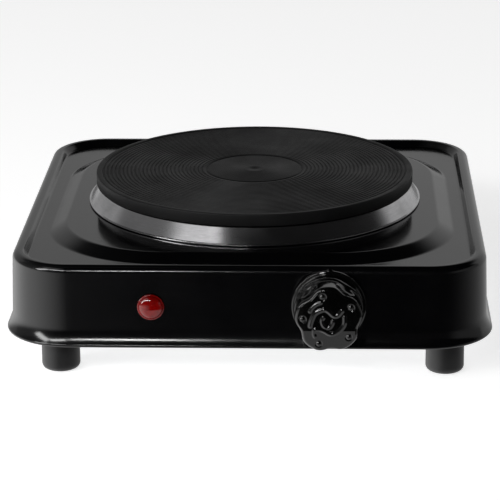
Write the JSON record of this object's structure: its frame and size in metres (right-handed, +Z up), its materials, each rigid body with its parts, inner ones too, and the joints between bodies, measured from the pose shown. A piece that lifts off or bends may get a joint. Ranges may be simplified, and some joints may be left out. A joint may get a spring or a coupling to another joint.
{
  "type": "single electric hot plate",
  "caption": "Square single electric hot plate with a round cast-iron cooking plate, bright trim ring, indicator lamp and lobed thermostat knob.",
  "frame": {"origin": "on the worktop under the middle of the whole object's bounding box", "axes": "+Z up, the shortest side; -Y towards the knob and lamp; +X to the right seen from the front"},
  "size_m": [0.2252, 0.2534, 0.0706],
  "materials": {
    "enamelled_body": "gloss black enamel on pressed steel",
    "cast_iron_plate": "matt, blackened",
    "trim_stainless": "bright brushed",
    "zinc_steel": "zinc plated",
    "brass": "plain",
    "knob_plastic": "polished black, moulded",
    "black_plastic": "moulded",
    "foot_rubber": "moulded",
    "lens_red": "clear red",
    "bulb_glass": "clear",
    "ceramic": "unglazed",
    "magnesia": "pressed powder",
    "heating_wire": "oxidised",
    "white_insulation": "silicone sleeve",
    "earth_insulation": "silicone sleeve"
  },
  "bodies": {
    "body": {"housing": "enamelled_body", "hotplate": "cast_iron_plate", "trim_ring": "trim_stainless", "base_plate": "zinc_steel", "magnesia_outer": "magnesia", "magnesia_inner": "magnesia", "heating_coil_outer": "heating_wire", "heating_coil_inner": "heating_wire", "plate_cover": "zinc_steel", "thermal_cutout": "ceramic", "plate_stud": "zinc_steel", "clamp_bridge": "zinc_steel", "stud_washer": "zinc_steel", "stud_nut": "zinc_steel", "thermostat_bracket": "zinc_steel", "thermostat_screw_left": "zinc_steel", "thermostat_screw_right": "zinc_steel", "thermostat_bush": "brass", "switch_block": "ceramic", "fixed_contact": "brass", "bimetal_blade": "trim_stainless", "line_tab": "brass", "load_tab": "brass", "lamp_lens": "lens_red", "lamp_bulb": "bulb_glass", "lamp_holder": "black_plastic", "cord_gland": "black_plastic", "gland_nut": "black_plastic", "terminal_block": "ceramic", "terminal_screw_1": "brass", "terminal_screw_2": "brass", "terminal_screw_3": "brass", "cord_clamp": "black_plastic", "cord_clamp_screw_1": "zinc_steel", "cord_clamp_screw_2": "zinc_steel", "earth_screw": "brass", "live_lead": "white_insulation", "load_lead": "white_insulation", "element_lead": "white_insulation", "link_lead": "white_insulation", "neutral_lead": "white_insulation", "lamp_lead": "white_insulation", "earth_lead": "earth_insulation", "foot_front_left": "foot_rubber", "foot_screw_front_left": "zinc_steel", "corner_bracket_front_left": "zinc_steel", "foot_rear_left": "foot_rubber", "foot_screw_rear_left": "zinc_steel", "corner_bracket_rear_left": "zinc_steel", "foot_front_right": "foot_rubber", "foot_screw_front_right": "zinc_steel", "corner_bracket_front_right": "zinc_steel", "foot_rear_right": "foot_rubber", "foot_screw_rear_right": "zinc_steel", "corner_bracket_rear_right": "zinc_steel"},
    "knob": {"knob": "knob_plastic", "thermostat_shaft": "zinc_steel", "knob_spring": "zinc_steel"},
    "push_pin": {"push_pin": "ceramic"},
    "contact_leaf": {"contact_leaf": "brass"}
  },
  "joints": [
    {"name": "knob_turn", "type": "hinge", "parent": "body", "child": "knob", "pos_m": [0.037, -0.10268, 0.0388], "axis": [0, 1, 0], "range_deg": [0, 270]},
    {"name": "push_pin_slide", "type": "slide", "parent": "body", "child": "push_pin", "axis": [0, 1, 0], "range_m": [0, 0.00081]},
    {"name": "contact_leaf_bend", "type": "hinge", "parent": "body", "child": "contact_leaf", "pos_m": [0.037, -0.06968, 0.0318], "axis": [-1, 0, 0], "range_deg": [0, 6.7]}
  ],
  "couplings": [
    {"joint": "push_pin_slide", "follows": "knob_turn", "m_per_rad": 0.00016977},
    {"joint": "contact_leaf_bend", "follows": "knob_turn", "ratio": 0.024305}
  ]
}
